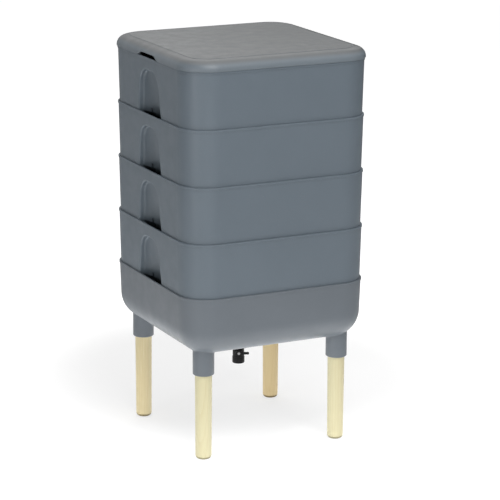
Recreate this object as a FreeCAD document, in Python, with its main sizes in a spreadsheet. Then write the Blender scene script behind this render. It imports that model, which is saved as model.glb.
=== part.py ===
import FreeCAD, Part
import math
import os

import Sketcher

# A wormery: four nested working trays and a lid on a deep reservoir, which stands on four wooden
# legs and is drained by a small ball tap under its middle. Millimetres, +Z up. The origin is on
# the floor at the centre. The front is -Y; the hand pockets and lid notches are on -X and +X.

Vec = FreeCAD.Vector
SIDES = (-1, 1)
TRAYS = ("tray_1", "tray_2", "tray_3", "tray_4")
LEGS = (("leg_front_left", -1, -1), ("leg_front_right", 1, -1),
        ("leg_back_left", -1, 1), ("leg_back_right", 1, 1))

# What tells a feature's edges from the others: millimetres, most of them from the side wall.
SLACK = 0.1
HAND_HALF_WIDTH = 62.0
HAND_CORNER_DEPTHS = (5.5, 30.0)
HAND_CORNER_SPAN = 12.0
HAND_CORNER_RISE = 3.0
HAND_LIP_DEPTH = 5.0
HAND_LIP_SPAN = 3.0
HAND_LIP_TOP = -15.0
BEAD_CORNER_CUT = 20.0
SOCKET_SEAM_TALL = 30.0
SPOUT_MOUTH_WIDE = 20.0

# Driving dimensions: millimetres, and degrees for the drafts and angles.
DIMENSIONS = {
    # How far a cut runs past the face that it opens, or a piece into the one that it joins.
    "past": 1.0,
    # Heights of the rims above the floor.
    "base_rim_z": 329.3,
    "base_to_tray": 106.0,
    "tray_pitch": 109.0,
    # The tray, measured from its rim down. Its side leans in by the draft.
    "tray_half": 193.0,
    "tray_corner": 60.0,
    "tray_draft": 1.35,
    "tray_wall": 2.0,
    "tray_nest": 20.0,
    "tray_foot_round": 8.0,
    # The bead round every rim.
    "bead_out": 1.0,
    "bead_tall": 4.5,
    "bead_round": 0.9,
    # The hand pocket: its outline on the side, then how deep its back wall lies.
    "hand_flat": 10.5,
    "hand_top": 24.0,
    "hand_round": 34.0,
    "hand_flare": 8.5,
    "hand_edge": 110.5,
    "hand_deep": 36.0,
    "hand_past_back": 6.0,
    "hand_past_floor": 10.0,
    "hand_mid_top": 10.0,
    "hand_side_top": 8.0,
    "hand_mid_low": 21.5,
    "hand_side_low": 10.0,
    "hand_side_at": 57.0,
    "hand_draft": 10.0,
    "hand_blend": 5.0,
    "hand_lip": 3.0,
    "vent_at": 24.0,
    "vent_wide": 6.0,
    "vent_tall": 8.0,
    "vent_from": 12.0,
    "vent_deep": 15.0,
    # The gussets that the next tray's floor rests on.
    "gusset_at": 105.0,
    "gusset_wide": 12.0,
    "gusset_reach": 17.0,
    "gusset_lip": 3.0,
    "gusset_tall": 24.0,
    # The drain slots in a tray's floor.
    "slot_long": 30.0,
    "slot_wide": 6.0,
    "slot_first": 32.0,
    "slot_step": 44.0,
    # The lid, measured from the rim that it rests on.
    "lid_half": 195.5,
    "lid_corner": 62.0,
    "lid_wall": 2.5,
    "lid_slope_z": 16.2,
    "lid_slope": 76.6,
    "lid_top": 21.4,
    "lid_shoulder": 18.0,
    "lid_foot_round": 1.2,
    "lid_inset": 22.0,
    "lid_groove_wide": 3.0,
    "lid_groove_deep": 0.5,
    "lid_ledge": 3.0,
    "lid_lip_gap": 0.6,
    "lid_lip_wall": 2.0,
    "lid_lip_down": 8.0,
    "notch_foot": 46.5,
    "notch_head": 29.5,
    "notch_tall": 8.0,
    "notch_deep": 10.0,
    # The reservoir, measured from its rim down.
    "base_tall": 118.5,
    "base_draft": 2.0,
    "base_wall": 2.0,
    "base_foot_round": 54.0,
    "sump_radius": 60.0,
    "sump_slope": 45.0,
    "sump_deep": 36.0,
    "tap_hole": 8.3,
    # The sockets and the turned legs in them.
    "leg_at": 143.5,
    "socket_radius": 20.8,
    "socket_foot_z": 170.0,
    "socket_head": 4.0,
    "socket_flare": 3.0,
    "socket_bevel": 1.2,
    "leg_radius": 16.6,
    "leg_foot": 15.6,
    "leg_end": 7.0,
    "leg_long": 229.8,
    "leg_gap": 0.05,
    # The tap, measured from the middle of its ball. It is turned about the vertical.
    "tap_z": 157.3,
    "tap_turn": -23.0,
    "ball_radius": 7.5,
    "ball_bore": 4.5,
    "seat_gap": 0.05,
    "collar_gap": 0.05,
    "chamber": 8.6,
    "seat_wide": 8.55,
    "seat_bore": 4.8,
    "seat_near": 3.6,
    "seat_far": 7.5,
    "tap_radius": 11.5,
    "tap_foot": 10.5,
    "flange_radius": 21.0,
    "flange_foot": 10.5,
    "flange_head": 15.5,
    "gasket_thick": 2.0,
    "gasket_out": 20.0,
    "gasket_in": 14.0,
    "tail_radius": 8.0,
    "tail_head": 34.0,
    "tail_bore": 6.0,
    "nut_flats": 24.0,
    "nut_thick": 7.0,
    "nut_gap": 0.05,
    "collar_radius": 12.25,
    "collar_foot": 23.5,
    "collar_bore": 6.5,
    "collar_round": 2.0,
    "bonnet_radius": 6.5,
    "bonnet_reach": 14.5,
    "stem_radius": 3.0,
    "stem_hole": 3.06,
    "stem_from": 7.7,
    "stem_tang_from": 5.5,
    "stem_tang_to": 8.0,
    "stem_tang_wide": 5.0,
    "stem_tang_thick": 2.4,
    "stem_tang_gap": 0.05,
    "gland_radius": 4.4,
    "gland_from": 11.0,
    "gland_to": 13.0,
    "ring_centre": 3.76,
    "ring_thick": 0.62,
    "lever_gap": 0.3,
    "lever_hole_gap": 0.03,
    "lever_thick": 3.6,
    "lever_hub": 6.5,
    "lever_reach": 18.0,
    "lever_arm": 3.6,
    "lever_bulb": 2.4,
    "screw_head": 2.6,
    "screw_thick": 1.3,
    "screw_shank": 1.2,
    "screw_shank_gap": 0.02,
    "screw_long": 6.0,
    "screw_end_gap": 0.2,
}

doc = FreeCAD.newDocument("wormery")
sheet = doc.addObject("Spreadsheet::Sheet", "dims")
for row, (alias, number) in enumerate(DIMENSIONS.items(), start=1):
    sheet.set(f"A{row}", alias)
    sheet.set(f"B{row}", str(number))
    sheet.setAlias(f"B{row}", alias)
doc.recompute()


def value(expression):
    """The present value of an expression in the sheet's names."""
    return float(sheet.evalExpression(expression))


def origin_plane(body, role):
    for feature in body.Origin.OriginFeatures:
        if feature.Role == role:
            return feature
    raise ValueError(role)


def new_body(name):
    return doc.addObject("PartDesign::Body", name)


def new_sketch(body, name, role, offset="0"):
    """A sketch on one of the body's own planes, moved along that plane's normal."""
    sketch = body.newObject("Sketcher::SketchObject", name)
    sketch.AttachmentSupport = [(origin_plane(body, role), "")]
    sketch.MapMode = "FlatFace"
    if offset != "0":
        sketch.setExpression("AttachmentOffset.Base.z", offset)
    return sketch


def constrain(sketch, expression, *args):
    """A size that follows the sheet; a negative one is measured the other way."""
    index = sketch.addConstraint(Sketcher.Constraint(*args, value(expression)))
    name = f"size_{index}"
    sketch.renameConstraint(index, name)
    sketch.setExpression(f"Constraints.{name}", expression)


def constrain_angle(sketch, degrees, *args):
    index = sketch.addConstraint(Sketcher.Constraint("Angle", *args, math.radians(value(degrees))))
    name = f"angle_{index}"
    sketch.renameConstraint(index, name)
    sketch.setExpression(f"Constraints.{name}", f"({degrees}) * 1 deg")


def pin(sketch, geometry, position, x, y):
    """Holds a point at (x, y), both given as expressions."""
    for kind, axis, expression in (("DistanceX", -2, x), ("DistanceY", -1, y)):
        number = value(expression)
        if abs(number) < 1e-9:
            sketch.addConstraint(Sketcher.Constraint("PointOnObject", geometry, position, axis))
        elif number > 0:
            constrain(sketch, expression, kind, -1, 1, geometry, position)
        else:
            constrain(sketch, f"-({expression})", kind, geometry, position, -1, 1)


def add_arc(sketch, centre, radius, start, end):
    circle = Part.Circle(centre, Vec(0, 0, 1), radius)
    sketch.addGeometry(Part.ArcOfCircle(circle, start, end), False)


def draw_polygon(sketch, points):
    """A closed outline through points given as pairs of expressions."""
    spots = [Vec(value(x), value(y), 0) for x, y in points]
    count = len(spots)
    first = sketch.GeometryCount
    for i in range(count):
        sketch.addGeometry(Part.LineSegment(spots[i], spots[(i + 1) % count]), False)
    for i in range(count):
        join = (first + i, 2, first + (i + 1) % count, 1)
        sketch.addConstraint(Sketcher.Constraint("Coincident", *join))
    for i, (x, y) in enumerate(points):
        pin(sketch, first + i, 1, x, y)


def draw_rounded_square(sketch, half, corner):
    """A square of the given half-width with round corners, centred on the origin."""
    reach = value(half)
    radius = value(corner)
    flat = reach - radius
    first = sketch.GeometryCount
    turns = (0, 90, 180, 270)
    for turn in turns:
        spin = FreeCAD.Rotation(Vec(0, 0, 1), turn)
        start = spin.multVec(Vec(-flat, -reach, 0))
        end = spin.multVec(Vec(flat, -reach, 0))
        sketch.addGeometry(Part.LineSegment(start, end), False)
    for turn in turns:
        centre = FreeCAD.Rotation(Vec(0, 0, 1), turn).multVec(Vec(flat, -flat, 0))
        circle = Part.Circle(centre, Vec(0, 0, 1), radius)
        angles = (math.radians(turn - 90), math.radians(turn))
        sketch.addGeometry(Part.ArcOfCircle(circle, *angles), False)
    sides = [first + i for i in range(4)]
    arcs = [first + 4 + i for i in range(4)]
    for i in range(4):
        sketch.addConstraint(Sketcher.Constraint("Tangent", sides[i], 2, arcs[i], 1))
        sketch.addConstraint(Sketcher.Constraint("Tangent", arcs[i], 2, sides[(i + 1) % 4], 1))
        sketch.addConstraint(Sketcher.Constraint(("Horizontal", "Vertical")[i % 2], sides[i]))
    for arc in arcs[1:]:
        sketch.addConstraint(Sketcher.Constraint("Equal", arcs[0], arc))
    constrain(sketch, corner, "Radius", arcs[0])
    constrain(sketch, half, "DistanceX", -1, 1, sides[1], 1)
    constrain(sketch, half, "DistanceY", -1, 1, sides[2], 1)
    constrain(sketch, half, "DistanceX", sides[3], 1, -1, 1)
    constrain(sketch, half, "DistanceY", sides[0], 1, -1, 1)


def edges_where(shape, test):
    return [f"Edge{i}" for i, edge in enumerate(shape.Edges, start=1) if test(edge)]


def round_edges(body, base, name, radius, test):
    """A fillet on the edges of the base feature that pass the test."""
    doc.recompute()
    chosen = edges_where(base.Shape, test)
    if not chosen:
        raise ValueError(f"no edge for {name}")
    fillet = body.newObject("PartDesign::Fillet", name)
    fillet.Base = (base, chosen)
    fillet.setExpression("Radius", radius)
    return fillet


def bevel_edges(body, base, name, size, test):
    """A chamfer on the edges of the base feature that pass the test."""
    doc.recompute()
    bevel = body.newObject("PartDesign::Chamfer", name)
    bevel.Base = (base, edges_where(base.Shape, test))
    bevel.setExpression("Size", size)
    return bevel


def pad(body, name, sketch, length, draft=None, down=False):
    feature = body.newObject("PartDesign::Pad", name)
    feature.Profile = sketch
    feature.Reversed = down
    feature.setExpression("Length", length)
    if draft:
        feature.setExpression("TaperAngle", draft)
    return feature


def pocket(body, name, sketch, length, draft=None, flip=False):
    feature = body.newObject("PartDesign::Pocket", name)
    feature.Profile = sketch
    feature.Reversed = flip
    feature.setExpression("Length", length)
    if draft:
        feature.setExpression("TaperAngle", draft)
    return feature


def within(low, number, high):
    return low <= number <= high


def near(number, target, slack=0.05):
    return abs(number - target) < slack


def draw_arch(sketch, grow):
    """The hand pocket's outline: flat top, round shoulders and flared sides."""
    top_z = f"(dims.hand_top - {grow})"
    foot_z = "(dims.tray_pitch + dims.tray_nest + dims.hand_past_floor)"
    round_by = f"(dims.hand_round + {grow})"
    flat = value("dims.hand_flat")
    radius = value(round_by)
    flare = math.radians(value("dims.hand_flare"))
    top = -value(top_z)
    foot = -value(foot_z)
    shoulder = Vec(flat + radius * math.cos(flare), top - radius + radius * math.sin(flare), 0)
    corner = Vec(shoulder.x + (shoulder.y - foot) * math.tan(flare), foot, 0)
    outline = (Vec(flat, top, 0), shoulder, corner)
    mirror = [Vec(-spot.x, spot.y, 0) for spot in outline]
    sketch.addGeometry(Part.LineSegment(mirror[0], outline[0]), False)
    add_arc(sketch, Vec(flat, top - radius, 0), radius, flare, math.pi / 2)
    sketch.addGeometry(Part.LineSegment(outline[1], outline[2]), False)
    sketch.addGeometry(Part.LineSegment(outline[2], mirror[2]), False)
    sketch.addGeometry(Part.LineSegment(mirror[2], mirror[1]), False)
    add_arc(sketch, Vec(-flat, top - radius, 0), radius, math.pi / 2, math.pi - flare)
    joins = (("Tangent", 0, 2, 1, 2), ("Tangent", 1, 1, 2, 1), ("Coincident", 2, 2, 3, 1),
             ("Coincident", 3, 2, 4, 1), ("Tangent", 4, 2, 5, 2), ("Tangent", 5, 1, 0, 1))
    for join in joins:
        sketch.addConstraint(Sketcher.Constraint(*join))
    sketch.addConstraint(Sketcher.Constraint("Horizontal", 0))
    sketch.addConstraint(Sketcher.Constraint("Equal", 1, 5))
    sketch.addConstraint(Sketcher.Constraint("Symmetric", 2, 2, 3, 2, -2))
    pin(sketch, 0, 2, "dims.hand_flat", f"-{top_z}")
    constrain(sketch, "dims.hand_flat", "DistanceX", 0, 1, -1, 1)
    constrain(sketch, round_by, "Radius", 1)
    constrain_angle(sketch, "90 - dims.hand_flare", 2, 2, 3, 1)
    constrain(sketch, foot_z, "DistanceY", 2, 2, -1, 1)


def draw_back(sketch, side, middle, flank, far):
    """Plan of what stays behind the pocket's hollow back wall: an arc in front, square behind."""
    wide = value("dims.hand_side_at")
    face = value("dims.tray_half")
    rise = value(f"{middle} - {flank}")
    bow = rise / 2 + wide ** 2 / (2 * rise)
    front = side * (face - value(flank))
    rear = side * (face - value(far))
    centre = Vec(side * (face - value(middle) + bow), 0, 0)
    spread = math.asin(wide / bow)
    aim = 0 if side < 0 else math.pi
    add_arc(sketch, centre, bow, aim - spread, aim + spread)
    first = -wide if side < 0 else wide
    spots = [Vec(front, -first, 0), Vec(rear, -first, 0), Vec(rear, first, 0), Vec(front, first, 0)]
    for start, end in zip(spots, spots[1:]):
        sketch.addGeometry(Part.LineSegment(start, end), False)
    for join in ((0, 2, 1, 1), (1, 2, 2, 1), (2, 2, 3, 1), (3, 2, 0, 1)):
        sketch.addConstraint(Sketcher.Constraint("Coincident", *join))
    near_edge = f"{side} * (dims.tray_half - ({flank}))"
    far_edge = f"{side} * (dims.tray_half - ({far}))"
    pin(sketch, 0, 1, near_edge, f"{side} * dims.hand_side_at")
    pin(sketch, 0, 2, near_edge, f"{-side} * dims.hand_side_at")
    pin(sketch, 2, 1, far_edge, f"{-side} * dims.hand_side_at")
    pin(sketch, 2, 2, far_edge, f"{side} * dims.hand_side_at")
    bulge = f"({middle} - ({flank}))"
    constrain(sketch, f"{bulge} / 2 + dims.hand_side_at ^ 2 / (2 * {bulge})", "Radius", 0)


def tray_block(body, grow, floor, lip, blend, foot):
    """The tray's outside as a solid, or, drawn in by the wall, the space inside it."""
    outline = new_sketch(body, f"{body.Name}_outline", "XY_Plane")
    draw_rounded_square(outline, f"dims.tray_half - {grow}", f"dims.tray_corner - {grow}")
    tall = f"dims.tray_pitch + dims.tray_nest - {floor}"
    tip = pad(body, f"{body.Name}_block", outline, tall, "-dims.tray_draft", down=True)
    bottom = -value(tall)

    def at_foot(edge):
        box = edge.BoundBox
        return near(box.ZMin, bottom) and near(box.ZMax, bottom)

    tip = round_edges(body, tip, f"{body.Name}_foot", foot, at_foot)
    for side in SIDES:
        tag = "left" if side < 0 else "right"
        arch = new_sketch(body, f"{body.Name}_arch_{tag}", "YZ_Plane", f"{side} * dims.tray_half")
        draw_arch(arch, grow)
        pocket(body, f"{body.Name}_hand_{tag}", arch, f"dims.hand_deep + {grow}",
               "-dims.hand_draft", flip=side < 0)
        plans = []
        for level, depth in (("top", "dims.hand_top"), ("low", "dims.hand_edge")):
            plan = new_sketch(body, f"{body.Name}_hand_{level}_{tag}", "XY_Plane",
                              f"-({depth} - {grow})")
            draw_back(plan, side, f"dims.hand_mid_{level} + {grow}",
                      f"dims.hand_side_{level} + {grow}", "dims.hand_deep + dims.hand_past_back")
            plans.append(plan)
        tip = body.newObject("PartDesign::AdditiveLoft", f"{body.Name}_back_{tag}")
        tip.Profile = plans[0]
        tip.Sections = [plans[1]]
        tip.Ruled = True
    doc.recompute()
    half = value("dims.tray_half")
    edge_z = -value("dims.hand_edge")

    def in_corner(edge):
        box = edge.BoundBox
        depth = half - abs(box.Center.x)
        least, most = HAND_CORNER_DEPTHS
        return (within(least + value(grow), depth, most) and box.XLength < HAND_CORNER_SPAN
                and box.ZMin > edge_z - SLACK and box.ZMax > edge_z + HAND_CORNER_RISE
                and abs(box.Center.y) < HAND_HALF_WIDTH)

    def on_lip(edge):
        box = edge.BoundBox
        depth = half - abs(box.Center.x)
        return (depth < HAND_LIP_DEPTH + value(grow) and box.XLength < HAND_LIP_SPAN
                and max(abs(box.YMin), abs(box.YMax)) < HAND_HALF_WIDTH
                and box.ZMin > bottom - SLACK and bottom + SLACK < box.ZMax < HAND_LIP_TOP)

    tip = round_edges(body, tip, f"{body.Name}_blend", blend, in_corner)
    tip = round_edges(body, tip, f"{body.Name}_lip", lip, on_lip)
    body.Tip = tip


def bead(body, half, corner, name="bead"):
    """The rounded bead outside a rim, ending inside the wall behind it."""
    ring = new_sketch(body, f"{name}_ring", "XY_Plane")
    draw_rounded_square(ring, f"{half} + dims.bead_out", f"{corner} + dims.bead_out")
    draw_rounded_square(ring, f"{half} - dims.past", f"{corner} - dims.past")
    band = pad(body, name, ring, "dims.bead_tall", down=True)
    reach = value(f"{half} + dims.bead_out")
    low = -value("dims.bead_tall")

    def outer_edge(edge):
        box = edge.BoundBox
        flat = near(box.ZMin, box.ZMax) and (near(box.ZMax, 0) or near(box.ZMax, low))
        far = max(abs(box.XMin), box.XMax, abs(box.YMin), box.YMax)
        centre = edge.CenterOfMass
        round_reach = math.hypot(centre.x, centre.y)
        return flat and near(far, reach) and round_reach > reach - BEAD_CORNER_CUT

    return round_edges(body, band, f"{name}_round", "dims.bead_round", outer_edge)


def gussets(body, rim_drop, wall_at):
    """Eight sloped gussets inside the walls, which the next tray's floor stands on."""
    ribs = []
    for side in SIDES:
        name = f"gusset_{'front' if side < 0 else 'back'}"
        rib = new_sketch(body, f"{name}_outline", "XZ_Plane", f"{-side} * dims.gusset_at")
        inner = f"({wall_at} - dims.gusset_reach)"
        draw_polygon(rib, ((wall_at, f"-({rim_drop})"),
                           (inner, f"-({rim_drop})"),
                           (inner, f"-({rim_drop} + dims.gusset_lip)"),
                           (wall_at, f"-({rim_drop} + dims.gusset_tall)")))
        solid = pad(body, name, rib, "dims.gusset_wide")
        solid.SideType = "Symmetric"
        ribs.append(solid)
    return ring_pattern(body, "gusset_ring", ribs, 4)


def draw_boxes(sketch, centres, long, wide):
    """Plain rectangles about centres given as pairs of expressions."""
    for x, y in centres:
        draw_polygon(sketch, ((f"{x} - ({long}) / 2", f"{y} - ({wide}) / 2"),
                              (f"{x} + ({long}) / 2", f"{y} - ({wide}) / 2"),
                              (f"{x} + ({long}) / 2", f"{y} + ({wide}) / 2"),
                              (f"{x} - ({long}) / 2", f"{y} + ({wide}) / 2")))


def draw_circle(sketch, x, y, radius):
    circle = Part.Circle(Vec(value(x), value(y), 0), Vec(0, 0, 1), value(radius))
    index = sketch.addGeometry(circle, False)
    pin(sketch, index, 3, x, y)
    constrain(sketch, radius, "Radius", index)


def ring_pattern(body, name, originals, count):
    """Repeats features round the body's vertical axis."""
    doc.recompute()
    ring = body.newObject("PartDesign::PolarPattern", name)
    ring.Originals = originals
    ring.Axis = (origin_plane(body, "Z_Axis"), [""])
    ring.Angle = 360
    ring.Occurrences = count
    body.Tip = ring
    return ring


def carve(body, name, tool):
    """Takes a whole body away from this one."""
    cut = body.newObject("PartDesign::Boolean", name)
    cut.Type = "Cut"
    cut.addObjects([tool])
    body.Tip = cut
    return cut


def revolve(body, name, points):
    """Turns an outline, given as (radius, height) pairs, about the vertical axis."""
    outline = new_sketch(body, f"{name}_outline", "XZ_Plane")
    draw_polygon(outline, points)
    turned = body.newObject("PartDesign::Revolution", name)
    turned.Profile = outline
    turned.ReferenceAxis = (outline, ["V_Axis"])
    turned.Angle = 360
    doc.recompute()
    return turned


def place(body, z, turn=None):
    """Puts a body at a height, turned about the vertical if it is a piece of the tap."""
    if turn:
        body.Placement = FreeCAD.Placement(Vec(0, 0, value(z)),
                                           FreeCAD.Rotation(Vec(0, 0, 1), value(turn)))
        body.setExpression("Placement.Rotation.Angle", f"{turn} * 1 deg")
    body.setExpression("Placement.Base.z", z)


def make_tray(name):
    body = new_body(name)
    tray_block(body, "0", "0", "dims.hand_lip", "dims.hand_blend", "dims.tray_foot_round")
    core = new_body(f"{name}_core")
    tray_block(core, "dims.tray_wall", "dims.tray_wall", "dims.hand_lip - dims.tray_wall",
               "dims.hand_blend + dims.tray_wall", "dims.tray_foot_round - dims.tray_wall")
    carve(body, "hollow", core)
    bead(body, "dims.tray_half", "dims.tray_corner")
    gussets(body, "dims.tray_nest", "(dims.tray_half - dims.tray_wall)")
    steps = [f"(dims.slot_first + {i} * dims.slot_step)" for i in range(3)]
    slots = new_sketch(body, "slots_outline", "XY_Plane", "-(dims.tray_pitch + dims.tray_nest)")
    draw_boxes(slots, [(x, y) for x in steps for y in steps], "dims.slot_long", "dims.slot_wide")
    slot = pocket(body, "slots", slots, "dims.tray_wall + dims.past", flip=True)
    ring_pattern(body, "slots_all_round", [slot], 4)
    for side in SIDES:
        tag = "left" if side < 0 else "right"
        vents = new_sketch(body, f"vents_outline_{tag}", "YZ_Plane",
                           f"{side} * (dims.tray_half - dims.vent_from)")
        low = "(dims.vent_tall / 2 - dims.hand_edge)"
        draw_boxes(vents, [(f"{turn} * dims.vent_at", low) for turn in SIDES],
                   "dims.vent_wide", "dims.vent_tall")
        body.Tip = pocket(body, f"vents_{tag}", vents, "dims.vent_deep", flip=side < 0)
    return body


def copy_body(name, source):
    """Another piece of the same moulding."""
    body = new_body(name)
    twin = body.newObject("PartDesign::FeatureBase", "moulding")
    twin.BaseFeature = source
    body.Tip = twin
    return body


def lid_block(body, inset, foot):
    """The lid's dome: upright sides, a wide shoulder and a slope up to the flat middle."""
    sides = new_sketch(body, f"{body.Name}_outline", "XY_Plane")
    draw_rounded_square(sides, f"dims.lid_half - {inset}", f"dims.lid_corner - {inset}")
    pad(body, f"{body.Name}_sides", sides, f"dims.lid_slope_z - {foot}")
    slope = new_sketch(body, f"{body.Name}_slope_outline", "XY_Plane", f"dims.lid_slope_z - {foot}")
    draw_rounded_square(slope, f"dims.lid_half - {inset}", f"dims.lid_corner - {inset}")
    tip = pad(body, f"{body.Name}_slope", slope, "dims.lid_top - dims.lid_slope_z",
              "-dims.lid_slope")
    doc.recompute()
    level = value(f"dims.lid_slope_z - {foot}")

    def at_shoulder(edge):
        return near(edge.BoundBox.ZMin, level) and near(edge.BoundBox.ZMax, level)

    tip = round_edges(body, tip, f"{body.Name}_shoulder", f"dims.lid_shoulder - {inset}",
                      at_shoulder)
    body.Tip = tip
    return tip


def make_lid():
    body = new_body("lid")
    lid_block(body, "0", "0")
    core = new_body("lid_core")
    lid_block(core, "dims.lid_wall", "dims.lid_wall")
    carve(body, "hollow", core)
    inner = "dims.tray_half - dims.tray_wall - dims.lid_lip_gap - dims.lid_lip_wall"
    inner_corner = "dims.tray_corner - dims.tray_wall - dims.lid_lip_gap - dims.lid_lip_wall"
    ledge = new_sketch(body, "ledge_outline", "XY_Plane")
    draw_rounded_square(ledge, "dims.lid_half - dims.past", "dims.lid_corner - dims.past")
    draw_rounded_square(ledge, inner, inner_corner)
    pad(body, "ledge", ledge, "dims.lid_ledge")
    lip = new_sketch(body, "lip_outline", "XY_Plane")
    draw_rounded_square(lip, f"{inner} + dims.lid_lip_wall", f"{inner_corner} + dims.lid_lip_wall")
    draw_rounded_square(lip, inner, inner_corner)
    pad(body, "lip", lip, "dims.lid_lip_down", down=True)
    groove = new_sketch(body, "groove_outline", "XY_Plane", "dims.lid_top")
    draw_rounded_square(groove, "dims.lid_half - dims.lid_inset", "dims.lid_corner - dims.lid_inset")
    draw_rounded_square(groove, "dims.lid_half - dims.lid_inset - dims.lid_groove_wide",
                        "dims.lid_corner - dims.lid_inset - dims.lid_groove_wide")
    pocket(body, "groove", groove, "dims.lid_groove_deep")
    down = "-(dims.lid_lip_down + dims.past)"
    for side in SIDES:
        tag = "left" if side < 0 else "right"
        notch = new_sketch(body, f"notch_outline_{tag}", "YZ_Plane",
                           f"{side} * (dims.lid_half + dims.past)")
        draw_polygon(notch, (("-dims.notch_foot", down), ("dims.notch_foot", down),
                             ("dims.notch_foot", "0"), ("dims.notch_head", "dims.notch_tall"),
                             ("-dims.notch_head", "dims.notch_tall"), ("-dims.notch_foot", "0")))
        tip = pocket(body, f"notch_{tag}", notch, "dims.notch_deep", flip=side < 0)
    reach = value("dims.lid_half")

    def outer_foot(edge):
        box = edge.BoundBox
        far = max(abs(box.XMin), box.XMax, abs(box.YMin), box.YMax)
        return near(box.ZMin, 0) and near(box.ZMax, 0) and near(far, reach)

    body.Tip = round_edges(body, tip, "foot_round", "dims.lid_foot_round", outer_foot)
    return body


def base_block(body, inset):
    """The reservoir's outside as a solid, or, drawn in by the wall, the space inside it."""
    outline = new_sketch(body, f"{body.Name}_outline", "XY_Plane")
    draw_rounded_square(outline, f"dims.tray_half - {inset}", f"dims.tray_corner - {inset}")
    tall = f"dims.base_tall - {inset}"
    block = pad(body, f"{body.Name}_block", outline, tall, "-dims.base_draft", down=True)
    foot = -value(tall)

    def at_foot(edge):
        return near(edge.BoundBox.ZMin, foot) and near(edge.BoundBox.ZMax, foot)

    body.Tip = round_edges(body, block, f"{body.Name}_bowl", f"dims.base_foot_round - {inset}",
                           at_foot)


def leg_circles(body, name, radius):
    """Four circles at the legs, on the level of the sockets' lower ends."""
    circles = new_sketch(body, name, "XY_Plane", "dims.socket_foot_z - dims.base_rim_z")
    for _, x, y in LEGS:
        draw_circle(circles, f"{x} * dims.leg_at", f"{y} * dims.leg_at", radius)
    return circles


def make_base():
    body = new_body("base_reservoir")
    base_block(body, "0")
    outline = leg_circles(body, "sockets_outline", "dims.socket_radius")
    posts = pad(body, "sockets", outline, "dims.leg_long - dims.socket_foot_z")
    low = value("dims.socket_foot_z - dims.base_rim_z")

    def at_socket_foot(edge):
        return near(edge.BoundBox.ZMin, low) and near(edge.BoundBox.ZMax, low)

    def at_socket_join(edge):
        middle = edge.valueAt((edge.FirstParameter + edge.LastParameter) / 2)
        away = math.hypot(abs(middle.x) - value("dims.leg_at"), abs(middle.y) - value("dims.leg_at"))
        upright = edge.BoundBox.ZLength > SOCKET_SEAM_TALL
        return near(away, value("dims.socket_radius")) and middle.z > low + SLACK and not upright

    flare = round_edges(body, posts, "socket_flare", "dims.socket_flare", at_socket_join)
    body.Tip = bevel_edges(body, flare, "socket_bevel", "dims.socket_bevel", at_socket_foot)
    core = new_body("base_core")
    base_block(core, "dims.base_wall")
    carve(body, "hollow", core)
    bead(body, "dims.tray_half", "dims.tray_corner")
    rim_drop = "(dims.tray_pitch + dims.tray_nest - dims.base_to_tray)"
    gussets(body, rim_drop, "(dims.tray_half - dims.base_wall)")
    under = "-dims.base_tall"
    deep = "-(dims.base_tall + dims.sump_deep)"
    narrow = "(dims.sump_radius - dims.sump_deep / tan(dims.sump_slope))"
    revolve(body, "sump", (("0", deep), (narrow, deep), ("dims.sump_radius", under),
                           ("dims.sump_radius", f"{under} + dims.base_wall"),
                           ("0", f"{under} + dims.base_wall")))
    slant = "dims.base_wall * tan(dims.sump_slope / 2)"
    inside = new_sketch(body, "sump_inside_outline", "XZ_Plane")
    draw_polygon(inside, (("0", f"{deep} + dims.base_wall"),
                          (f"{narrow} - {slant}", f"{deep} + dims.base_wall"),
                          (f"dims.sump_radius - {slant}", f"{under} + dims.base_wall"),
                          ("0", f"{under} + dims.base_wall")))
    scoop = body.newObject("PartDesign::Groove", "sump_inside")
    scoop.Profile = inside
    scoop.ReferenceAxis = (inside, ["V_Axis"])
    scoop.Angle = 360
    hole = new_sketch(body, "tap_hole_outline", "XY_Plane", deep)
    draw_circle(hole, "0", "0", "dims.tap_hole")
    pocket(body, "tap_hole", hole, "dims.base_wall + dims.past", flip=True)
    caps = leg_circles(body, "socket_caps_outline", "dims.socket_radius")
    cap_foot = "dims.base_wall / 2 - dims.base_tall"
    caps.setExpression("AttachmentOffset.Base.z", cap_foot)
    pad(body, "socket_caps", caps,
        f"dims.leg_long + dims.socket_head - dims.base_rim_z - ({cap_foot})")
    holes = leg_circles(body, "leg_holes_outline", "dims.leg_radius + dims.leg_gap")
    body.Tip = pocket(body, "leg_holes", holes, "dims.leg_long - dims.socket_foot_z", flip=True)
    place(body, "dims.base_rim_z")
    return body


def make_leg(name, x, y):
    """A turned dowel with a rounded foot."""
    body = new_body(name)
    dowel = revolve(body, f"{name}_dowel", (("0", "0"), ("dims.leg_foot", "0"),
                                            ("dims.leg_radius", "dims.socket_foot_z"),
                                            ("dims.leg_radius", "dims.leg_long"),
                                            ("0", "dims.leg_long")))

    def at_foot(edge):
        return near(edge.BoundBox.ZMax, 0)

    body.Tip = round_edges(body, dowel, f"{name}_foot", "dims.leg_end", at_foot)
    body.setExpression("Placement.Base.x", f"{x} * dims.leg_at")
    body.setExpression("Placement.Base.y", f"{y} * dims.leg_at")
    return body


def seat_in_tap(body):
    place(body, "dims.tap_z", "dims.tap_turn")
    return body


def make_ring(name, low, high, inner, outer):
    """A washer or seal: a plain ring between two heights on the tap's axis."""
    body = new_body(name)
    body.Tip = revolve(body, f"{name}_ring", ((inner, low), (outer, low), (outer, high),
                                              (inner, high)))
    return body


def hollow_for_ball(body):
    """Shapes a seat to the ball, with a little room to turn."""
    ball = body.newObject("PartDesign::SubtractiveSphere", f"{body.Name}_for_ball")
    ball.setExpression("Radius", "dims.ball_radius + dims.seat_gap")
    body.Tip = ball


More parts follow.
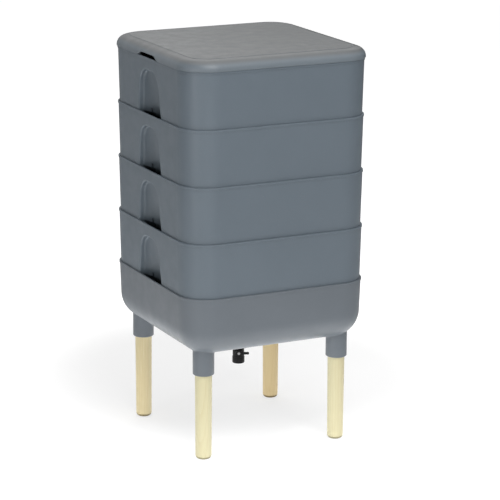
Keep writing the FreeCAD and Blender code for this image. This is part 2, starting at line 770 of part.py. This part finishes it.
def bar(body, name, radius, near_end, far_end, cut=False):
    """A round bar, or bore, along the stem's axis, which points to -Y."""
    outline = new_sketch(body, f"{name}_outline", "XZ_Plane", near_end)
    draw_circle(outline, "0", "0", radius)
    long = f"({far_end}) - ({near_end})"
    if cut:
        feature = pocket(body, name, outline, long, flip=True)
    else:
        feature = pad(body, name, outline, long)
    body.Tip = feature
    return feature


def make_tap():
    """The ball tap under the sump: its ball turns with the stem and lever."""
    tail_z = "dims.flange_head"
    shell = new_body("spigot_body")
    revolve(shell, "barrel", (("dims.tail_bore", "dims.seat_far"), ("dims.chamber", "dims.seat_far"),
                              ("dims.chamber", "-dims.tap_foot"), ("dims.tap_radius", "-dims.tap_foot"),
                              ("dims.tap_radius", "dims.flange_foot"),
                              ("dims.flange_radius", "dims.flange_foot"),
                              ("dims.flange_radius", tail_z), ("dims.tail_radius", tail_z),
                              ("dims.tail_radius", "dims.tail_head"),
                              ("dims.tail_bore", "dims.tail_head")))
    bar(shell, "bonnet", "dims.bonnet_radius", "dims.chamber + dims.past", "dims.bonnet_reach")
    bar(shell, "stem_hole", "dims.stem_hole", "dims.chamber - 2 * dims.past",
        "dims.bonnet_reach + dims.past", cut=True)
    bar(shell, "gland", "dims.gland_radius", "dims.gland_from", "dims.gland_to", cut=True)
    ball = new_body("spigot_ball")
    sphere = ball.newObject("PartDesign::AdditiveSphere", "ball")
    sphere.setExpression("Radius", "dims.ball_radius")
    through = new_sketch(ball, "ball_bore_outline", "YZ_Plane", "-dims.ball_radius - dims.past")
    draw_circle(through, "0", "0", "dims.ball_bore")
    pocket(ball, "ball_bore", through, "2 * (dims.ball_radius + dims.past)", flip=True)
    groove = new_sketch(ball, "tang_slot_outline", "XZ_Plane", "dims.stem_tang_from")
    draw_boxes(groove, [("0", "0")], "2 * dims.ball_radius", "dims.stem_tang_thick + dims.stem_tang_gap")
    ball.Tip = pocket(ball, "tang_slot", groove, "dims.ball_radius", flip=True)
    upper = make_ring("spigot_seat_upper", "dims.seat_near", "dims.seat_far", "dims.seat_bore",
                      "dims.seat_wide")
    hollow_for_ball(upper)
    lower = make_ring("spigot_seat_lower", "-dims.seat_far", "-dims.seat_near", "dims.seat_bore",
                      "dims.seat_wide")
    hollow_for_ball(lower)
    stem = new_body("spigot_stem")
    tang = new_sketch(stem, "tang_outline", "XZ_Plane", "dims.stem_tang_from")
    draw_boxes(tang, [("0", "0")], "dims.stem_tang_wide", "dims.stem_tang_thick")
    pad(stem, "tang", tang, "dims.stem_tang_to - dims.stem_tang_from")
    hub_far = "dims.bonnet_reach + dims.lever_gap + dims.lever_thick"
    bar(stem, "shaft", "dims.stem_radius", "dims.stem_from", hub_far)
    bar(stem, "screw_hole", "dims.screw_shank + dims.screw_shank_gap",
        f"{hub_far} - dims.screw_long", f"{hub_far} + dims.past", cut=True)
    seal = new_body("spigot_stem_o_ring")
    torus = seal.newObject("PartDesign::AdditiveTorus", "seal")
    torus.setExpression("Radius1", "dims.ring_centre")
    torus.setExpression("Radius2", "dims.ring_thick")
    torus.AttachmentSupport = [(origin_plane(seal, "XZ_Plane"), "")]
    torus.MapMode = "FlatFace"
    torus.setExpression("AttachmentOffset.Base.z", "(dims.gland_from + dims.gland_to) / 2")
    seal.Tip = torus
    lever = new_body("spigot_lever")
    hub_near = "dims.bonnet_reach + dims.lever_gap"
    bar(lever, "hub", "dims.lever_hub", hub_near, hub_far)
    arm = new_sketch(lever, "arm_outline", "XZ_Plane", hub_near)
    draw_polygon(arm, (("0", "-dims.lever_hub / 2"), ("dims.lever_reach", "-dims.lever_arm / 2"),
                       ("dims.lever_reach", "dims.lever_arm / 2"), ("0", "dims.lever_hub / 2")))
    pad(lever, "arm", arm, "dims.lever_thick")
    bulb = new_sketch(lever, "bulb_outline", "XZ_Plane", hub_near)
    draw_circle(bulb, "dims.lever_reach", "0", "dims.lever_bulb")
    pad(lever, "bulb", bulb, "dims.lever_thick")
    bar(lever, "hub_hole", "dims.stem_radius + dims.lever_hole_gap", "dims.bonnet_reach",
        f"{hub_far} + dims.past", cut=True)
    screw = new_body("spigot_lever_screw")
    bar(screw, "head", "dims.screw_head", hub_far, f"{hub_far} + dims.screw_thick")
    bar(screw, "shank", "dims.screw_shank", f"{hub_far} - dims.screw_long + dims.screw_end_gap",
        hub_far)
    collar = new_body("spigot_outlet_collar")
    fit = "dims.chamber - dims.collar_gap"
    spout = revolve(collar, "spout", (("dims.collar_bore", "-dims.collar_foot"),
                                      ("dims.collar_radius", "-dims.collar_foot"),
                                      ("dims.collar_radius", "-dims.tap_foot"),
                                      (fit, "-dims.tap_foot"),
                                      (fit, "-dims.seat_far"),
                                      ("dims.seat_bore", "-dims.seat_far"),
                                      ("dims.seat_bore", "-dims.tap_foot"),
                                      ("dims.collar_bore", "-dims.tap_foot")))
    foot = -value("dims.collar_foot")

    def at_rim(edge):
        box = edge.BoundBox
        return near(box.ZMin, foot) and near(box.ZMax, foot) and box.XLength > SPOUT_MOUTH_WIDE

    collar.Tip = round_edges(collar, spout, "spout_round", "dims.collar_round", at_rim)
    outer = make_ring("spigot_gasket_outer", tail_z, f"{tail_z} + dims.gasket_thick",
                      "dims.tap_hole", "dims.gasket_out")
    floor = f"({tail_z} + dims.gasket_thick + dims.base_wall)"
    inner = make_ring("spigot_gasket_inner", floor, f"{floor} + dims.gasket_thick",
                      "dims.tap_hole", "dims.gasket_in")
    nut = new_body("spigot_lock_nut")
    flats = new_sketch(nut, "nut_outline", "XY_Plane", f"{floor} + dims.gasket_thick")
    spoke = "(dims.nut_flats / 2 / cos(30))"
    turns = [60 * i for i in range(6)]
    draw_polygon(flats, [(f"{spoke} * cos({turn})", f"{spoke} * sin({turn})") for turn in turns])
    draw_circle(flats, "0", "0", "dims.tail_radius + dims.nut_gap")
    nut.Tip = pad(nut, "nut", flats, "dims.nut_thick")
    return [seat_in_tap(piece) for piece in (shell, ball, upper, lower, stem, seal, lever, screw,
                                             collar, outer, inner, nut)]


def check(pieces):
    """Stops if any feature failed or any piece isn't one sound solid."""
    doc.recompute()
    for item in doc.Objects:
        if "Invalid" in item.State or "Error" in item.State:
            raise RuntimeError(f"{item.Name} failed")
    for piece in pieces:
        if piece.Shape.isNull() or not piece.Shape.isValid() or len(piece.Shape.Solids) != 1:
            raise RuntimeError(f"{piece.Label} isn't one sound solid")


pieces = [make_base()]
pieces += [make_leg(*leg) for leg in LEGS]
pieces += make_tap()
first = make_tray(TRAYS[0])
pieces.append(first)
pieces += [copy_body(name, first) for name in TRAYS[1:]]
for order, tray in enumerate(pieces[-4:]):
    place(tray, f"dims.base_rim_z + dims.base_to_tray + {3 - order} * dims.tray_pitch")
lid = make_lid()
place(lid, "dims.base_rim_z + dims.base_to_tray + 3 * dims.tray_pitch")
pieces.append(lid)
check(pieces)
os.makedirs("parts", exist_ok=True)
for piece in pieces:
    piece.Shape.exportStep(f"parts/{piece.Label}.step")
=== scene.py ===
import math

import bpy
from mathutils import Matrix, Vector

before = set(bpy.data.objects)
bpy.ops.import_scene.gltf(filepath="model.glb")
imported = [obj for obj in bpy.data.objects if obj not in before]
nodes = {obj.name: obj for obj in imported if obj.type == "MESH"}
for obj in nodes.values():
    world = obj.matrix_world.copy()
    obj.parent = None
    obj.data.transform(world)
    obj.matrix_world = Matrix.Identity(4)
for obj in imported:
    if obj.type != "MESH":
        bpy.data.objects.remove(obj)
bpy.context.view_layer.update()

# A wormery in a white studio: satin grey mouldings, a black drain tap and four turned wooden legs.
# Metres, +Z up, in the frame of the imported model. Colours are linear RGB.

WHITE = (1.0, 1.0, 1.0)


# Node materials.

# The sockets of a Mix node that mixes colours: its factor, its two colours and its result.
MIX_FACTOR, MIX_FIRST, MIX_SECOND, MIX_RESULT = 0, 6, 7, 2


class Paint:
    """A material's node tree, with short ways to add the nodes that the materials below share."""

    def __init__(self, name):
        self.material = bpy.data.materials.new(name)
        self.material.use_nodes = True
        self.tree = self.material.node_tree
        self.tree.nodes.clear()
        self.output = self.add("ShaderNodeOutputMaterial")
        self.shader = self.add("ShaderNodeBsdfPrincipled")
        self.link(self.shader.outputs["BSDF"], self.output.inputs["Surface"])
        self.place = self.add("ShaderNodeTexCoord").outputs["Object"]

    def add(self, kind, **settings):
        node = self.tree.nodes.new(kind)
        for key, setting in settings.items():
            setattr(node, key, setting)
        return node

    def link(self, source, target):
        self.tree.links.new(source, target)

    def set(self, **values):
        """Sets the shader's own sockets; an underscore in a name stands for a space."""
        for key, number in values.items():
            self.shader.inputs[key.replace("_", " ")].default_value = number

    def mapped(self, scale=(1, 1, 1), shift=(0, 0, 0), turn=(0, 0, 0), source=None):
        node = self.add("ShaderNodeMapping")
        node.inputs["Scale"].default_value = scale
        node.inputs["Location"].default_value = shift
        node.inputs["Rotation"].default_value = turn
        self.link(source or self.place, node.inputs["Vector"])
        return node.outputs["Vector"]

    def noise(self, scale, detail=3.0, rough=0.5, distort=0.0, where=None, channel="Fac"):
        node = self.add("ShaderNodeTexNoise")
        node.inputs["Scale"].default_value = scale
        node.inputs["Detail"].default_value = detail
        node.inputs["Roughness"].default_value = rough
        node.inputs["Distortion"].default_value = distort
        self.link(where or self.place, node.inputs["Vector"])
        return node.outputs[channel]

    def remap(self, source, low, high, start=0.3, end=0.7):
        """Turns start to end into low to high, smoothly, and holds low and high beyond them."""
        node = self.add("ShaderNodeMapRange", interpolation_type="SMOOTHSTEP")
        for name, number in (("From Min", start), ("From Max", end), ("To Min", low), ("To Max", high)):
            node.inputs[name].default_value = number
        self.link(source, node.inputs["Value"])
        return node.outputs["Result"]

    def plus(self, first, second):
        node = self.add("ShaderNodeMath", operation="ADD")
        for socket, source in zip(node.inputs, (first, second)):
            self.link(source, socket)
        return node.outputs["Value"]

    def mix(self, amount, first, second, blend="MIX"):
        """Mixes two colours; each is a triple or another node's output."""
        node = self.add("ShaderNodeMix", data_type="RGBA", blend_type=blend)
        for index, source in ((MIX_FACTOR, amount), (MIX_FIRST, first), (MIX_SECOND, second)):
            socket = node.inputs[index]
            if isinstance(source, float):
                socket.default_value = source
            elif isinstance(source, tuple):
                socket.default_value = (*source, 1.0)
            else:
                self.link(source, socket)
        return node.outputs[MIX_RESULT]

    def tinted(self, source, tint):
        return self.mix(1.0, source, tint, blend="MULTIPLY")

    def colour(self, source):
        self.link(source, self.shader.inputs["Base Color"])

    def roughness(self, source):
        self.link(source, self.shader.inputs["Roughness"])

    def relief(self, *layers):
        """Stacks bumps: each layer is (height, depth in metres, strength)."""
        normal = None
        for height, depth, strength in layers:
            node = self.add("ShaderNodeBump")
            node.inputs["Distance"].default_value = depth
            node.inputs["Strength"].default_value = strength
            self.link(height, node.inputs["Height"])
            if normal:
                self.link(normal, node.inputs["Normal"])
            normal = node.outputs["Normal"]
        self.link(normal, self.shader.inputs["Normal"])


GREY_DEEP, GREY_LIGHT = (0.110, 0.138, 0.164), (0.118, 0.147, 0.174)
GREY_GRAIN, GREY_SPECK = (0.155, 0.179, 0.204), (0.205, 0.228, 0.248)
# The upward part of a surface's normal where the painted overhead light on it starts, and where it is
# full.
TOP_LIGHT_STARTS, TOP_LIGHT_FULL = 0.45, 0.92


def moulded_grey(name, tint, top_light_tint=None):
    """Recycled blue-grey polypropylene: a fine spark-eroded skin, faint flow clouds and specks.

    Where a tint for the upward faces is given, the surfaces that face up take it, as painted overhead
    light."""
    paint = Paint(name)
    clouds = paint.noise(5.5, detail=4.0, rough=0.55, distort=0.6)
    grain = paint.noise(1500.0, detail=2.0, rough=0.6)
    specks = paint.noise(620.0, detail=1.0, rough=0.4)
    base = paint.mix(paint.remap(clouds, 0.0, 1.0), GREY_DEEP, GREY_LIGHT)
    base = paint.mix(paint.remap(grain, 0.0, 0.18), base, GREY_GRAIN)
    base = paint.mix(paint.remap(specks, 0.0, 0.22, start=0.66, end=0.78), base, GREY_SPECK)
    if top_light_tint:
        # Painted overhead light: the faces that look up take the given tint in place of the plain one.
        facing = paint.add("ShaderNodeSeparateXYZ")
        paint.link(paint.add("ShaderNodeNewGeometry").outputs["Normal"], facing.inputs["Vector"])
        upward = paint.remap(facing.outputs["Z"], 0.0, 1.0, start=TOP_LIGHT_STARTS, end=TOP_LIGHT_FULL)
        tint = paint.mix(upward, tint, top_light_tint)
    paint.colour(paint.tinted(base, tint))
    wear = paint.noise(38.0, detail=5.0, rough=0.62)
    paint.roughness(paint.plus(paint.remap(wear, 0.40, 0.50), paint.remap(grain, -0.03, 0.03)))
    waves = paint.noise(9.0, detail=1.0, rough=0.4)
    paint.relief((waves, 0.00025, 0.05), (grain, 0.00006, 0.50))
    paint.set(IOR=1.49, Specular_IOR_Level=0.5)
    return paint.material


BEECH_PALE, BEECH_RIPE = (0.780, 0.700, 0.455), (0.720, 0.620, 0.385)
BEECH_LATE_RING = (0.640, 0.515, 0.300)
BEECH_FIBRE, BEECH_PORE = (0.830, 0.765, 0.540), (0.500, 0.380, 0.210)


def growth_rings(paint):
    """Rings about an upright axis outside the dowels, leaning a little and uneven, as a saw wave."""
    drift = paint.noise(1.0, detail=2.0, where=paint.mapped(scale=(9.0, 9.0, 3.0)), channel="Color")
    warp = paint.add("ShaderNodeVectorMath", operation="SCALE")
    warp.inputs["Scale"].default_value = 0.012
    paint.link(drift, warp.inputs[0])
    bent = paint.add("ShaderNodeVectorMath", operation="ADD")
    paint.link(paint.place, bent.inputs[0])
    paint.link(warp.outputs["Vector"], bent.inputs[1])
    rings = paint.add("ShaderNodeTexWave", wave_type="RINGS", rings_direction="Z", wave_profile="SAW")
    rings.inputs["Scale"].default_value = 62.0
    rings.inputs["Distortion"].default_value = 0.6
    rings.inputs["Detail"].default_value = 2.0
    rings.inputs["Detail Scale"].default_value = 1.5
    lean = paint.mapped(turn=(0.03, -0.05, 0.0), source=bent.outputs["Vector"])
    paint.link(lean, rings.inputs["Vector"])
    return rings.outputs["Fac"]


def turned_beech(name, tint):
    """Pale sanded dowel: growth rings cut lengthwise, paler fibres and fine dark pores."""
    paint = Paint(name)
    clouds = paint.noise(1.0, detail=2.0, where=paint.mapped(scale=(14.0, 14.0, 2.4)))
    rings = growth_rings(paint)
    fibres = paint.noise(1.0, detail=5.0, rough=0.62, where=paint.mapped(scale=(900.0, 900.0, 26.0)))
    pores = paint.noise(1.0, detail=1.0, where=paint.mapped(scale=(2600.0, 2600.0, 150.0)))
    tone = paint.mix(paint.remap(clouds, 0.0, 1.0), BEECH_PALE, BEECH_RIPE)
    tone = paint.mix(paint.remap(rings, 0.0, 0.26, start=0.55, end=1.0), tone, BEECH_LATE_RING)
    tone = paint.mix(paint.remap(fibres, 0.0, 0.40, start=0.42, end=0.72), tone, BEECH_FIBRE)
    tone = paint.mix(paint.remap(pores, 0.0, 0.30, start=0.68, end=0.82), tone, BEECH_PORE)
    paint.colour(paint.tinted(tone, tint))
    paint.roughness(paint.remap(fibres, 0.46, 0.62))
    paint.relief((fibres, 0.00018, 0.45), (rings, 0.00020, 0.20), (pores, 0.00010, 0.35))
    paint.set(IOR=1.45, Coat_Weight=0.08, Coat_Roughness=0.35)
    return paint.material


BLACK_DEEP, BLACK_LIGHT = (0.0020, 0.0021, 0.0022), (0.0050, 0.0052, 0.0055)
RUBBER_DEEP, RUBBER_DUSTY = (0.014, 0.014, 0.014), (0.034, 0.034, 0.033)
STEEL_DULL, STEEL_BRIGHT = (0.20, 0.20, 0.20), (0.27, 0.27, 0.27)


def moulded_black():
    """Glass-filled black nylon: nearly smooth, with a soft sheen and faint swirls."""
    paint = Paint("black_plastic")
    swirls = paint.noise(140.0, detail=4.0, rough=0.6, distort=1.2)
    grain = paint.noise(2600.0, detail=2.0)
    paint.colour(paint.mix(paint.remap(swirls, 0.0, 1.0), BLACK_DEEP, BLACK_LIGHT))
    paint.roughness(paint.remap(swirls, 0.42, 0.54))
    paint.relief((swirls, 0.00006, 0.3), (grain, 0.00003, 0.4))
    paint.set(IOR=1.40, Specular_IOR_Level=0.30)
    return paint.material


def seal_rubber():
    """Dusty black nitrile."""
    paint = Paint("seal_rubber")
    bloom = paint.noise(300.0, detail=4.0, rough=0.65)
    grain = paint.noise(3200.0, detail=2.0)
    paint.colour(paint.mix(paint.remap(bloom, 0.0, 1.0), RUBBER_DEEP, RUBBER_DUSTY))
    paint.roughness(paint.remap(bloom, 0.62, 0.82))
    paint.relief((grain, 0.00004, 0.5))
    paint.set(IOR=1.50)
    return paint.material


def screw_steel():
    """Zinc-plated steel with a faint patina and fine scratches."""
    paint = Paint("screw_steel")
    scratches = paint.noise(1.0, detail=4.0, where=paint.mapped(scale=(3000.0, 900.0, 300.0)))
    patina = paint.noise(420.0, detail=3.0)
    paint.colour(paint.mix(paint.remap(patina, 0.0, 1.0), STEEL_DULL, STEEL_BRIGHT))
    paint.roughness(paint.remap(scratches, 0.24, 0.42))
    paint.relief((scratches, 0.00003, 0.4))
    paint.set(Metallic=1.0)
    return paint.material


def dress(material, *names):
    for name in names:
        mesh = nodes[name].data
        mesh.materials.clear()
        mesh.materials.append(material)


# What each piece is made of. The lid's sides are tinted paler than the trays, as painted light on its
# rounded band, and its upward faces take a duller, warmer tint that is painted overhead light;
# the tub is a little redder; and the back legs are tinted darker and warmer than the front legs, as
# painted shade and warm bounce light.

# LID_TINT is painted light on the lid's rounded band; LID_TOP_TINT is painted warm overhead light on
# its top.
LID_TINT, LID_TOP_TINT = (1.24, 1.18, 1.13), (1.000, 0.850, 0.740)
TRAY_TINT = (1.0, 1.0, 1.0)
TUB_TINT = (1.07, 0.99, 0.95)
# The two back-leg tints are darker and warmer than the front one: painted shade and warm bounce light
# on the back legs.
PALE_TINT, BACK_LEFT_SHADE_TINT, BACK_RIGHT_SHADE_TINT = (0.77, 0.80, 0.78), (0.82, 0.80, 0.74), (0.78, 0.69, 0.57)

black = moulded_black()
rubber = seal_rubber()
dress(moulded_grey("lid_plastic", LID_TINT, top_light_tint=LID_TOP_TINT), "lid")
dress(moulded_grey("tray_plastic", TRAY_TINT), "tray_1", "tray_2", "tray_3", "tray_4")
dress(moulded_grey("tub_plastic", TUB_TINT), "base_reservoir")
dress(turned_beech("pale_wood", PALE_TINT), "leg_front_left", "leg_front_right")
# The back legs take painted shade and warm bounce light in their tints.
dress(turned_beech("back_left_shaded_wood", BACK_LEFT_SHADE_TINT), "leg_back_left")
dress(turned_beech("back_right_shaded_wood", BACK_RIGHT_SHADE_TINT), "leg_back_right")
dress(black, "spigot_body", "spigot_outlet_collar", "spigot_lever", "spigot_lock_nut", "spigot_ball",
      "spigot_stem")
dress(rubber, "spigot_seat_upper", "spigot_seat_lower", "spigot_stem_o_ring", "spigot_gasket_outer",
      "spigot_gasket_inner")
dress(screw_steel(), "spigot_lever_screw")


# The studio: a white floor that keeps the shadow, a white surround and soft lamps.

PAPER_DULL, PAPER_BRIGHT = (0.86, 0.86, 0.86), (0.88, 0.88, 0.88)
# What the camera sees of the floor: a share of the floor's own light and shadow, and a glow that
# grows with the distance from the middle of the shadow, from where it starts to where it is full.
SHADOW_MIDDLE = (0.15, 0.32, 0.0)
GLOW_NEAR, GLOW_FAR = 0.70, 1.0
GLOW_STARTS, GLOW_FULL = 0.30, 0.62
SHADOW_SHARE = 0.36


def shadow_paper():
    """White paper, with its shadow softened and its far parts lost in the white surround."""
    paint = Paint("studio_floor")
    paper = paint.noise(3.0, detail=4.0)
    paint.colour(paint.mix(paint.remap(paper, 0.0, 1.0), PAPER_DULL, PAPER_BRIGHT))
    paint.roughness(paint.remap(paper, 0.85, 0.95))
    away = paint.add("ShaderNodeVectorMath", operation="LENGTH")
    paint.link(paint.mapped(shift=tuple(-x for x in SHADOW_MIDDLE)), away.inputs[0])
    glow = paint.add("ShaderNodeEmission")
    glow.inputs["Color"].default_value = (*WHITE, 1.0)
    bright = paint.remap(away.outputs["Value"], GLOW_NEAR, GLOW_FAR, start=GLOW_STARTS, end=GLOW_FULL)
    paint.link(bright, glow.inputs["Strength"])
    dimmed = paint.add("ShaderNodeMixShader")
    dimmed.inputs["Fac"].default_value = 1.0 - SHADOW_SHARE
    paint.link(paint.shader.outputs["BSDF"], dimmed.inputs[1])
    lifted = paint.add("ShaderNodeAddShader")
    paint.link(dimmed.outputs["Shader"], lifted.inputs[0])
    paint.link(glow.outputs["Emission"], lifted.inputs[1])
    seen = paint.add("ShaderNodeLightPath")
    both = paint.add("ShaderNodeMixShader")
    paint.link(seen.outputs["Is Camera Ray"], both.inputs["Fac"])
    paint.link(paint.shader.outputs["BSDF"], both.inputs[1])
    paint.link(lifted.outputs["Shader"], both.inputs[2])
    paint.link(both.outputs["Shader"], paint.output.inputs["Surface"])
    return paint.material


def studio_floor(reach):
    mesh = bpy.data.meshes.new("studio_floor")
    corners = [(-reach, -reach, 0.0), (reach, -reach, 0.0), (reach, reach, 0.0), (-reach, reach, 0.0)]
    mesh.from_pydata(corners, [], [(0, 1, 2, 3)])
    mesh.materials.append(shadow_paper())
    floor = bpy.data.objects.new("studio_floor", mesh)
    bpy.context.scene.collection.objects.link(floor)


def surround(strength):
    """Lights the object gently from all round, and shows plain white to the camera."""
    world = bpy.data.worlds.new("studio")
    bpy.context.scene.world = world
    world.use_nodes = True
    tree = world.node_tree
    tree.nodes.clear()
    output = tree.nodes.new("ShaderNodeOutputWorld")
    mixer = tree.nodes.new("ShaderNodeMixShader")
    path = tree.nodes.new("ShaderNodeLightPath")
    for index, level in enumerate((strength, 1.0), start=1):
        glow = tree.nodes.new("ShaderNodeBackground")
        glow.inputs["Color"].default_value = (*WHITE, 1.0)
        glow.inputs["Strength"].default_value = level
        tree.links.new(glow.outputs["Background"], mixer.inputs[index])
    shown = tree.nodes.new("ShaderNodeMath")
    shown.operation = "MAXIMUM"
    tree.links.new(path.outputs["Is Camera Ray"], shown.inputs[0])
    tree.links.new(path.outputs["Is Transmission Ray"], shown.inputs[1])
    tree.links.new(shown.outputs["Value"], mixer.inputs["Fac"])
    tree.links.new(mixer.outputs["Shader"], output.inputs["Surface"])


def softbox(name, spot, aim, wide, tall, watts):
    lamp = bpy.data.lights.new(name, "AREA")
    lamp.shape = "RECTANGLE"
    lamp.size = wide
    lamp.size_y = tall
    lamp.energy = watts
    holder = bpy.data.objects.new(name, lamp)
    bpy.context.scene.collection.objects.link(holder)
    holder.location = spot
    holder.rotation_euler = (Vector(aim) - Vector(spot)).to_track_quat("-Z", "Y").to_euler()
    holder.visible_camera = False


# What the lamps point at: the middle of the stack, and its foot.
MIDDLE, LOW = (0.0, 0.0, 0.45), (0.0, 0.0, 0.3)

studio_floor(reach=40.0)
surround(0.02)
softbox("overhead", (0.0, 0.0, 2.8), MIDDLE, wide=2.4, tall=2.4, watts=30.8)
softbox("high_front", (-0.19, -2.19, 2.6), MIDDLE, wide=1.6, tall=1.6, watts=64.0)
softbox("corner_strip", (-2.34, -1.14, 0.8), MIDDLE, wide=0.3, tall=1.5, watts=12.5)
softbox("low_front", (-0.82, -2.26, 0.25), LOW, wide=1.6, tall=0.4, watts=3.3)
softbox("high_right", (2.2, -0.4, 2.4), MIDDLE, wide=1.6, tall=1.6, watts=9.2)
softbox("high_back_right", (1.3, 1.9, 2.3), MIDDLE, wide=1.6, tall=1.6, watts=10.5)
softbox("high_back", (0.0, 2.4, 2.4), MIDDLE, wide=2.4, tall=1.4, watts=9.9)
softbox("back", (0.0, 3.0, 1.4), MIDDLE, wide=2.6, tall=1.8, watts=5.2)
softbox("back_left", (-1.2, 2.8, 1.0), MIDDLE, wide=1.6, tall=1.8, watts=6.0)
softbox("floor_bounce", (0.0, 0.0, 0.005), (0.0, 0.0, 1.0), wide=0.9, tall=0.9, watts=3.0)
softbox("left_bounce", (-1.0, -0.1, 0.01), (-1.0, -0.1, 1.0), wide=1.3, tall=1.8, watts=1.8)


# The camera, at the photograph's angle, distance and framing.

AZIMUTH, ELEVATION, ROLL = (math.radians(a) for a in (-25.836, 14.588, 0.2325))
DISTANCE = 4.658017
TARGET = Vector((0.0, 0.0, 0.367676))
FOCAL_PIXELS = 2364.391
OPTICAL_AXIS = (238.824, 248.670)
IMAGE = 500.0
SENSOR = 36.0


def photograph_camera():
    """Looks from TARGET's front left, turned by ROLL, with the optical axis at its own pixel."""
    back = Vector((math.sin(AZIMUTH) * math.cos(ELEVATION), -math.cos(AZIMUTH) * math.cos(ELEVATION),
                   math.sin(ELEVATION)))
    level = Vector((math.cos(AZIMUTH), math.sin(AZIMUTH), 0.0))
    above = back.cross(level)
    right = level * math.cos(ROLL) + above * math.sin(ROLL)
    up = above * math.cos(ROLL) - level * math.sin(ROLL)
    lens = bpy.data.cameras.new("camera")
    lens.sensor_width = SENSOR
    lens.lens = FOCAL_PIXELS / IMAGE * SENSOR
    lens.shift_x = (IMAGE / 2 - OPTICAL_AXIS[0]) / IMAGE
    lens.shift_y = (OPTICAL_AXIS[1] - IMAGE / 2) / IMAGE
    lens.clip_start, lens.clip_end = 0.05, 200.0
    camera = bpy.data.objects.new("camera", lens)
    bpy.context.scene.collection.objects.link(camera)
    turn = Matrix((right, up, back)).transposed().to_4x4()
    camera.matrix_world = Matrix.Translation(TARGET + back * DISTANCE) @ turn
    return camera


bpy.context.scene.camera = photograph_camera()
bpy.context.scene.view_settings.view_transform = "Standard"
